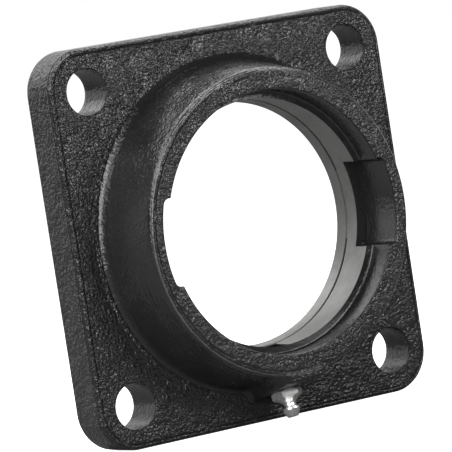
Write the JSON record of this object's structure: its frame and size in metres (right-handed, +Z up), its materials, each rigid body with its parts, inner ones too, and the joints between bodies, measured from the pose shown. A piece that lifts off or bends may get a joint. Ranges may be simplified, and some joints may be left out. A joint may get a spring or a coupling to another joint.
{
  "type": "flange bearing housing",
  "caption": "Empty square flange bearing housing with a spherical seat, loading slots, bolt holes and a grease fitting with a sprung check ball.",
  "frame": {"origin": "on the bore's axis in the mounting face, which is also the middle of the bolt holes", "axes": "+Y along the bore's axis into the machine that the flange is bolted to, so the hub faces -Y; +Z up, with the grease fitting at the bottom; +X to the right as the hub is looked at"},
  "size_m": [0.143, 0.041, 0.143],
  "materials": {
    "painted_iron": "semi-gloss black paint on rough cast iron, with the seat left as turned bare iron",
    "zinc_plate": "turned steel with bright zinc plate",
    "ball_steel": "polished bearing steel",
    "spring_wire": "drawn spring wire"
  },
  "bodies": {
    "root": {"housing": "painted_iron", "grease_fitting_body": "zinc_plate", "check_spring": "spring_wire"},
    "check_valve_ball": {"check_ball": "ball_steel"}
  },
  "joints": [
    {"name": "check_ball_slide", "type": "slide", "parent": "root", "child": "check_valve_ball", "axis": [0, 0.2588, 0.9659], "range_m": [0, 0.0008], "stiffness_N_per_m": 500, "springref_m": -0.002, "deforming": ["check_spring"]}
  ]
}
